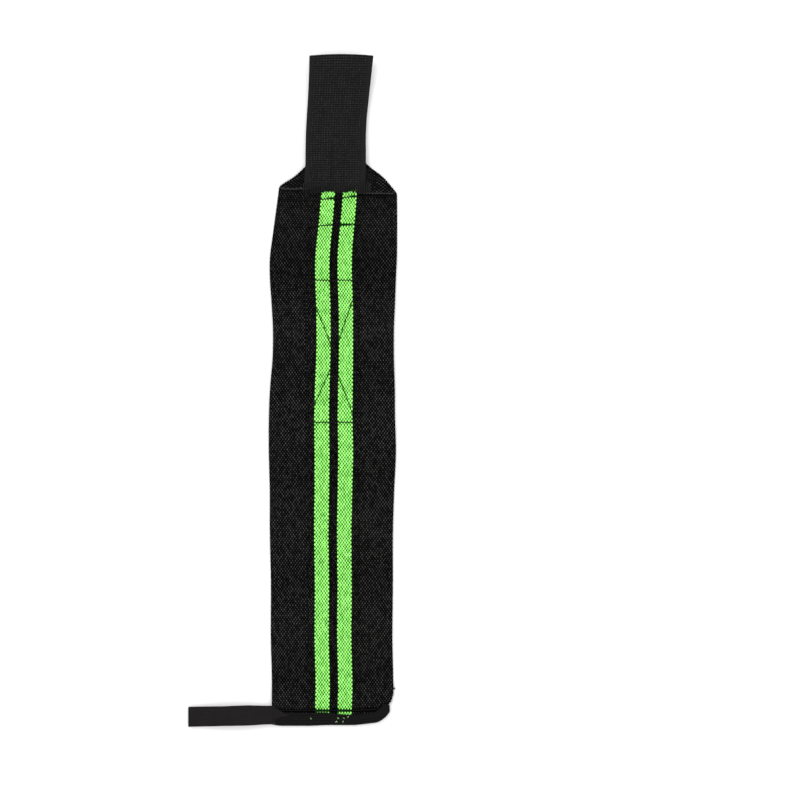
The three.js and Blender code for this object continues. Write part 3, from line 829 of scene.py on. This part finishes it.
# Strap stitching
# A close satin row of black thread that binds the strap's cut end down to the turned corners
# and to the band between them, and runs on a little way over the right corner.
satin_pitch, satin_start, satin_past = 0.58, -0.2, 3.2
satin_on_strap, satin_below, satin_radius = 1.3, 4.4, 0.29
satin_wander, wander_start, wander_length, wander_spread = 0.5, 8.5, 14, 0.22
above_strap, above_edge, above_cloth = 0.12, 0.1, 0.08
past_start, past_edge, past_below = 1.5, 0.6, -0.4
over_share, over_fall, satin_lights = 0.25, 0.4, (1.0, 0.1)
sunk_at_start, sunk_at_end = (0.2, -0.45), (-0.15, -0.5)


def cloth_top(x, y):
    """Height of whatever lies under the strap at a point: a turned corner, or the band."""
    height = band_top(x, y)
    for fold in folds:
        inward = (x - fold["foot"][0]) * fold["inside"][0] + (y - fold["foot"][1]) * fold["inside"][1]
        from_x = x - (2 * inward + flap_top) * fold["inside"][0]
        from_y = y - (2 * inward + flap_top) * fold["inside"][1]
        covered = (inward > 0) & (from_y < raw_end)
        covered &= (from_x > left_selvedge(from_y)) & (from_x < right_selvedge(from_y))
        height = np.where(covered, flap_top, height)
    return height


satin_u = np.arange(satin_start, strap_width + satin_past, satin_pitch) / strap_width
beyond = satin_u > 1
edge_u = np.minimum(satin_u, 1)
strap_v = np.full(len(edge_u), satin_on_strap / strap_length)
on_strap = strap_point(edge_u, strap_v, strap_backing + above_strap)
at_edge = strap_point(edge_u, np.zeros(len(edge_u)), strap_backing + above_edge)
for line in (on_strap, at_edge):
    line[:, 0] += (satin_u - edge_u) * strap_width
    line[beyond, 1] = strap_low + past_start
    line[beyond, 2] = cloth_top(line[beyond, 0], line[beyond, 1]) + above_edge
at_edge[beyond, 1] -= past_edge
below = at_edge.copy()
wander = satin_wander * np.cos(2 * np.pi * (below[:, 0] + wander_start) / wander_length)
wander = wander + draw.normal(0, wander_spread, len(below))
below[:, 1] = strap_low - satin_below - np.where(beyond, past_below, wander)
below[:, 2] = cloth_top(below[:, 0], below[:, 1]) + above_cloth
over_edge = at_edge * (1 - over_share) + below * over_share
over_height = at_edge[:, 2] * (1 - over_fall) + below[:, 2] * over_fall
over_edge[:, 2] = np.maximum(over_height, below[:, 2] + above_edge)
# Each stitch starts and ends down in the cloth, a little beyond what shows.
sunk_start, sunk_end = on_strap.copy(), below.copy()
sunk_start[:, 1:] += sunk_at_start
sunk_end[:, 1:] += sunk_at_end
paths = np.stack([sunk_start, on_strap, at_edge, over_edge, below, sunk_end], axis=1)
satin_relief = np.where(np.arange(len(paths)) % 2 == 0, *satin_lights)
satin_shades = [(0.0, 0.002), (1.0, (0.02, 0.0205, 0.0195))]
satin_thread = yarn_finish("satin_thread", satin_shades, roughness=0.6, specular=0.06)
strap_stitching = thread_piece(
    "strap_stitching", [paths], satin_radius, satin_thread, 5, satin_relief
)
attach(strap_stitching, "root")

# Thumb loop
# One narrow elastic tape. It is folded lengthwise over the band's bound end, where it also
# binds the rounded corner, then opens flat, runs out past the left selvedge, turns back at
# its tip and is sewn down beside itself.
tape_width, tape_length = 11.8, 217.0
ribs_across, rib_height = 11, 0.09
binding_radius = band_thickness / 2 + sewn_gap + tape_thickness / 2
binding_left, binding_right = float(left_selvedge(bound_end)), float(right_selvedge(bound_end))

# The tape hangs a little below the band's end, less so towards the right. At the far right it
# rises again and runs on past the corner. Each size is followed by where along X it comes in.
binding_drop, drop_from, drop_to = 1.15, -42, -33
binding_drop_right, less_from, less_to = 0.7, -16, -2
binding_end_up, up_from = 2.2, 27
binding_past, past_from = 1.4, 16
binding_straight, binding_steps, binding_shade, binding_run = 12, 170, 0.5, 86
end_pinch, pinch_from = 0.75, 0.95
# Share of the bound end's length, then how far the tape covers the band, as a share of its
# full depth.
depth_sections = np.array(
    [(0, 1.2), (0.2, 1.25), (0.42, 1.2), (0.55, 0.95), (0.65, 0.85), (0.85, 0.88), (1, 0.7)]
)


def even_steps(line, count):
    """The same line, with its points at even distances."""
    run = np.concatenate([[0], np.cumsum(np.linalg.norm(np.diff(line, axis=0), axis=1))])
    at = np.linspace(0, run[-1], count + 1)
    return np.stack([np.interp(at, run, line[:, axis]) for axis in range(line.shape[1])], axis=1)


def left_of(line):
    """Unit steps to the left of a line, square to it."""
    tangent = np.gradient(line, axis=0)
    tangent /= np.linalg.norm(tangent, axis=1, keepdims=True)
    return np.stack([-tangent[:, 1], tangent[:, 0]], axis=1)


end_x = np.linspace(binding_left, binding_straight, 60)
end_x = np.concatenate([end_x, np.linspace(binding_straight + 0.2, binding_right, 160)])
end_y = bound_end + corner_rise(end_x) - binding_drop * eased(end_x, drop_from, drop_to)
end_y = end_y + (binding_drop - binding_drop_right) * eased(end_x, less_from, less_to)
end_y = end_y + binding_end_up * eased(end_x, up_from, end_x[-1])
end_x = end_x + binding_past * eased(end_x, past_from, end_x[-1])
end_line = even_steps(np.stack([end_x, end_y], axis=1), binding_steps)
inward = left_of(end_line)
along_share = np.linspace(0, 1, len(end_line))
depth = binding_depth * read_table(depth_sections, 1, along_share) + binding_drop_right
wall_points, bend_points = 12, 12
wall_share = np.linspace(1, 0, wall_points)[:-1]
bend_angle = np.linspace(0, np.pi, bend_points)
section_in = np.concatenate([wall_share, -np.sin(bend_angle), wall_share[::-1]])
section_up = np.concatenate([np.ones(wall_points - 1), np.cos(bend_angle), -np.ones(wall_points - 1)])
on_wall = np.concatenate([np.ones(wall_points - 1), np.zeros(bend_points), np.ones(wall_points - 1)])
rib = np.abs(np.sin(np.linspace(0, np.pi * ribs_across, len(section_in))))
middle = band_underside(end_line[:, 0], end_line[:, 1]) + band_thickness / 2


def binding_skin(offset, ribbed):
    """One skin of the folded tape, offset from its middle layer."""
    radius = binding_radius + offset + ribbed * rib
    around_end = radius * (1 - end_pinch * eased(along_share, pinch_from, 1)[:, None])
    into = np.where(on_wall > 0, depth[:, None] * section_in, around_end * section_in)
    x = end_line[:, 0:1] + inward[:, 0:1] * into
    y = end_line[:, 1:2] + inward[:, 1:2] * into
    return np.stack([x, y, middle[:, None] + radius * section_up], axis=-1)


binding_outer = binding_skin(tape_thickness / 2 - rib_height, rib_height)
binding_inner = binding_skin(-tape_thickness / 2, 0)
binding_points, binding_faces = grid_shell(binding_outer, binding_inner)
run, across = np.meshgrid(
    np.linspace(0, binding_run, len(end_line)),
    np.linspace(0, tape_width, len(section_in)),
    indexing="ij",
)
binding_cloth = on_cloth(across, run)
# Painted shade in the grooves between the binding's ribs, lighter on the rib crests.
binding_relief = np.broadcast_to(binding_shade * rib, across.shape).ravel()

# The loop's own run, seen from the bound end: out over an arch, round the tip and straight
# back along the table, with both ends run in between the band and the binding.
loop_reach, loop_opening, loop_tip_radius, loop_tip_in = 55.3, 5.6, 1.1, 0.6
loop_fall, upper_run_in, lower_run_in, loop_steps = 1.1, 16.0, 9.0, 330
# Share of the reach, then the upper layer's rise as a share of the full opening.
loop_sections = np.array(
    [
        (0, 0),
        (0.12, 0.22),
        (0.25, 0.6),
        (0.4, 0.93),
        (0.55, 0.98),
        (0.7, 0.73),
        (0.83, 0.36),
        (0.94, 0.08),
        (1, 0),
    ]
)
upper_root = float(band_underside(binding_left, bound_end)) + band_thickness / 2 + binding_radius
tip = binding_left - loop_reach + loop_tip_radius + tape_thickness / 2 + loop_tip_in
low_layer = tape_thickness / 2
tip_top = low_layer + 2 * loop_tip_radius
arch = low_layer + tape_thickness + loop_opening - (upper_root + tip_top) / 2
share = np.linspace(0, 1, 90)
run_out = binding_left - (binding_left - tip) * share
rise = upper_root + (tip_top - upper_root) * share + arch * read_table(loop_sections, 1, share)
over = np.stack([run_out, rise], axis=1)
turn = np.linspace(0.04, 0.96, 24) * np.pi
around_x, around_z = tip - loop_tip_radius * np.sin(turn), loop_tip_radius * (1 + np.cos(turn))
around = np.stack([around_x, low_layer + around_z], axis=1)
under = np.stack([run_out[::-1], np.full(len(share), low_layer)], axis=1)
upper_end = np.array([[binding_left + upper_run_in, upper_root]])
lower_end = np.array([[binding_left + lower_run_in, low_layer]])
loop_line = even_steps(np.concatenate([upper_end, over, around, under, lower_end]), loop_steps)
outward = -left_of(loop_line)

# The flat tape: drawn narrower where it runs into the binding, a little wider where nothing
# stretches it, its two layers slightly askew, and diving under the binding's folded edge.
root_narrowing, root_from, root_to = 2.6, 0, 4.5
tail_narrowing, tail_from, tail_to = 2.4, 4, 9
loose_widening, loose_from, loose_to = 1.0, 0.03, 0.3
upper_bow, lower_bow, lower_from, lower_to, both_askew = 0.3, -0.35, 0.3, 0.7, 0.5
edge_reach, edge_thinning = 0.5, 0.18
dive_slope, dive_from, dive_up, dive_down, dive_ease = 0.3, 1.5, -0.25, 1.3, 3
dive_width, dive_spread = 4.1, 3.5
loop_run, groove_shade, rib_light = 120, 0.35, 0.65
tape_across = np.linspace(0, 1, 4 * ribs_across + 1)
tape_rib = np.abs(np.sin(np.pi * ribs_across * tape_across))
edge_round = np.clip(np.minimum(tape_across, 1 - tape_across) * tape_width / edge_reach, 0, 1)
outer_edge = bound_end - binding_radius - tape_thickness / 2
reached = np.clip((binding_left - loop_line[:, 0]) / loop_reach, 0, 1)
run_in = np.maximum(0, loop_line[:, 0] - binding_left)
loose = eased(reached, loose_from, loose_to)
loop_width = tape_width - root_narrowing * eased(run_in, root_from, root_to)
loop_width = loop_width - tail_narrowing * eased(run_in, tail_from, tail_to)
loop_width = loop_width + loose_widening * loose
upper_askew = upper_bow * np.sin(np.pi * reached) - both_askew * loose
lower_askew = lower_bow * eased(reached, lower_from, lower_to) - both_askew * loose
is_upper = np.arange(len(loop_line)) < np.argmax(reached)
askew = np.where(is_upper, upper_askew, lower_askew)


def loop_skin(side):
    """One skin of the flat tape, its ribs raised and its two edges rounded off."""
    half = tape_thickness / 2 - rib_height + rib_height * tape_rib
    half = half - edge_thinning * (1 - edge_round)
    x = loop_line[:, 0:1] + side * outward[:, 0:1] * half
    z = loop_line[:, 1:2] + side * outward[:, 1:2] * half
    from_outer = loop_width[:, None] * (1 - tape_across)
    y = (outer_edge - loop_fall * reached + askew)[:, None] + from_outer
    dives_at = np.maximum(dive_from, dive_width + dive_spread * (from_outer - dive_width))
    dive = np.clip(dive_slope * (run_in[:, None] - dives_at), dive_up, dive_down)
    dive = np.where(run_in[:, None] > 0, dive * eased(run_in, 0, dive_ease)[:, None], 0)
    z = np.where(loop_line[:, 1:2] > upper_root - 0.01, z - dive, z)
    return np.stack([x, y, np.maximum(z, 0.01)], axis=-1)


loop_points, loop_faces = grid_shell(loop_skin(1), loop_skin(-1))
run, across = np.meshgrid(
    np.linspace(0, loop_run, len(loop_line)), tape_across * tape_width, indexing="ij"
)
loop_cloth = on_cloth(across, run)
loop_relief = np.broadcast_to(groove_shade + rib_light * tape_rib, across.shape).ravel()
elastic_shades = [(0.0, 0.0005), (0.35, (0.0045, 0.004, 0.004)), (1.0, (0.0125, 0.011, 0.011))]
elastic = yarn_finish(
    "loop_elastic", elastic_shades, roughness=0.65, specular=0.06, fibre=(6.0, 2.5)
)
thumb_loop = make_piece(
    "thumb_loop_tape",
    np.concatenate([binding_points, loop_points]),
    np.concatenate([binding_faces, loop_faces + len(binding_points)]),
    [elastic],
    np.concatenate([binding_relief, binding_relief, loop_relief, loop_relief]),
    np.concatenate([binding_cloth, binding_cloth, loop_cloth, loop_cloth]),
)
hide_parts("thumb_loop")
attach(thumb_loop, "root")

# Thumb loop stitching
# Three short bars of close stitches hold the loop where it leaves the band, and a row of
# small stitches closes the folded tape along the bound end.
bar_places, bar_top, bar_foot = (0.5, 1.9, 3.3), 8.6, 0.2
bar_stitch, bar_arch, tape_sink = 0.9, 0.16, 0.05
tape_seam_inset, tape_seam_stop, tape_seam_up = 6, 31.5, 1.6
tape_stitch, tape_stitch_arch, loop_thread_radius = 1.8, 0.2, 0.25


def on_tape(x, y):
    """Height of the loop's and the binding's upper face, near the bound end."""
    return upper_root + tape_thickness / 2 - tape_sink + 0 * x


bars = [
    [(binding_left + out, bound_end + bar_top), (binding_left + out, bound_end + bar_foot)]
    for out in bar_places
]
tape_seam_x = np.linspace(binding_left + tape_seam_inset, tape_seam_stop, 40)
tape_seam_y = bound_end + tape_seam_up + corner_rise(tape_seam_x)
tape_seam = np.stack([tape_seam_x, tape_seam_y], axis=1)
loop_stitches = [stitches_along(bar, on_tape, bar_stitch, bar_arch) for bar in bars]
loop_stitches.append(stitches_along(tape_seam, on_tape, tape_stitch, tape_stitch_arch))
loop_stitching = thread_piece(
    "loop_stitching", loop_stitches, loop_thread_radius, black_thread, 5
)
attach(loop_stitching, "root")

# Loose yarn ends
# Where the bound end was cut a few yarns work out: pale green ones at the foot of the two
# stripes and short black ones at the rounded corner.
pale_shades = [(0.0, (0.1, 0.25, 0.05)), (1.0, (0.5, 0.72, 0.36))]
pale_green = yarn_finish(
    "pale_green_yarn", pale_shades, roughness=0.8, specular=0.2, sheen=0.02
)
frayed_places = [
    (2.6, -185.3),
    (3.9, -183.0),
    (6.8, -185.4),
    (7.6, -182.9),
    (10.3, -182.4),
    (-14.1, -183.2),
]
pale_reach, pale_bow, pale_rise, pale_radius = (0.3, 0.9), (-0.3, 0.3), 0.15, 0.13
pale_height = upper_root + tape_thickness / 2 + 0.02
yarn_share = np.linspace(0, 1, 7)
yarn_bow = np.sin(np.pi * yarn_share)
stray_green = []
for x, y in frayed_places:
    for turn_to in draw.uniform(0, 2 * np.pi, 3):
        out, bow = draw.uniform(*pale_reach) * yarn_share, draw.uniform(*pale_bow) * yarn_bow
        along_x, along_y = np.cos(turn_to), np.sin(turn_to)
        yarn_x, yarn_y = x + out * along_x - bow * along_y, y + out * along_y + bow * along_x
        yarn_z = pale_height + pale_rise * yarn_bow
        stray_green.append(np.stack([yarn_x, yarn_y, yarn_z], axis=1))
green_relief = draw.uniform(0, 1, len(stray_green))
green_ends = thread_piece(
    "green_yarn_ends", [np.array(stray_green)], pale_radius, pale_green, 5, green_relief
)

# Most black ends stand along the rounded corner. A small tuft sticks out further up.
fray_low, fray_high, fray_count, fray_inset = 1.5, 13, 48, 0.7
tuft_low, tuft_high, tuft_count, tuft_out = 17.2, 18.4, 8, 0.9
end_reach, end_climb, end_bow, end_height = (0.6, 1.4), (-1.2, 1.2), (-0.3, 0.3), (0.6, 1.7)
end_fall, end_radius = 0.4, 0.1
fray_heights = draw.uniform(fray_low, fray_high, fray_count)
stray_black = []
for above_end in np.append(fray_heights, np.linspace(tuft_low, tuft_high, tuft_count)):
    flat_y = bound_end + above_end
    start_x = float(right_selvedge(flat_y)) - fray_inset
    start_y = flat_y + float(corner_lift(start_x, flat_y))
    out, up, bow = draw.uniform(*end_reach), draw.uniform(*end_climb), draw.uniform(*end_bow)
    out = out + tuft_out * (above_end > fray_high)
    z = float(band_underside(start_x, start_y)) + draw.uniform(*end_height)
    yarn_x, yarn_y = start_x + out * yarn_share, start_y + up * yarn_share + bow * yarn_bow
    stray_black.append(np.stack([yarn_x, yarn_y, z - end_fall * yarn_share**2], axis=1))
black_ends = thread_piece(
    "black_yarn_ends", [np.array(stray_black)], end_radius, black_thread, 4
)
for piece in (green_ends, black_ends):
    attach(piece, "root")

# Table, light and camera
# A plain near-white table, soft even light from above and all round, and the camera looking
# straight down, as far off as keeps the wrap's edges square.
table_size = 9.0
table_mesh = bpy.data.meshes.new("table_top")
corners = [(x * table_size, y * table_size, 0) for x, y in ((-1, -1), (1, -1), (1, 1), (-1, 1))]
table_mesh.from_pydata(corners, [], [(0, 1, 2, 3)])
table_top = add_object("table_top", table_mesh)
paper = bpy.data.materials.new("white_paper")
paper.use_nodes = True
set_inputs(
    paper.node_tree.nodes["Principled BSDF"],
    {"Base Color": (0.93, 0.93, 0.93, 1), "Roughness": 0.9, "Specular IOR Level": 0.1},
)
table_mesh.materials.append(paper)

world = bpy.data.worlds.new("studio")
world.use_nodes = True
set_inputs(world.node_tree.nodes["Background"], {"Color": (1, 1, 1, 1), "Strength": 1.0})
bpy.context.scene.world = world


def soft_light(name, place, size, power):
    """A square soft light, aimed at the wrap."""
    lamp = bpy.data.lights.new(name, "AREA")
    lamp.shape = "SQUARE"
    lamp.size = size
    lamp.energy = power
    light = add_object(name, lamp)
    light.location = place
    light.rotation_euler = (-mathutils.Vector(place)).to_track_quat("-Z", "Y").to_euler()


soft_light("key_light", (-0.7, 0.8, 1.6), 1.2, 14)
soft_light("fill_light", (0.9, -0.7, 1.7), 1.4, 9)

picture_width = 0.5184
lens, sensor = 150.0, 36.0
view_centre = (0.06985, -0.00656)
camera_data = bpy.data.cameras.new("camera")
camera_data.lens = lens
camera_data.sensor_width = sensor
camera = add_object("camera", camera_data)
camera.location = (*view_centre, picture_width * lens / sensor + band_thickness / 1000)
bpy.context.scene.camera = camera
bpy.context.scene.view_settings.view_transform = "Standard"
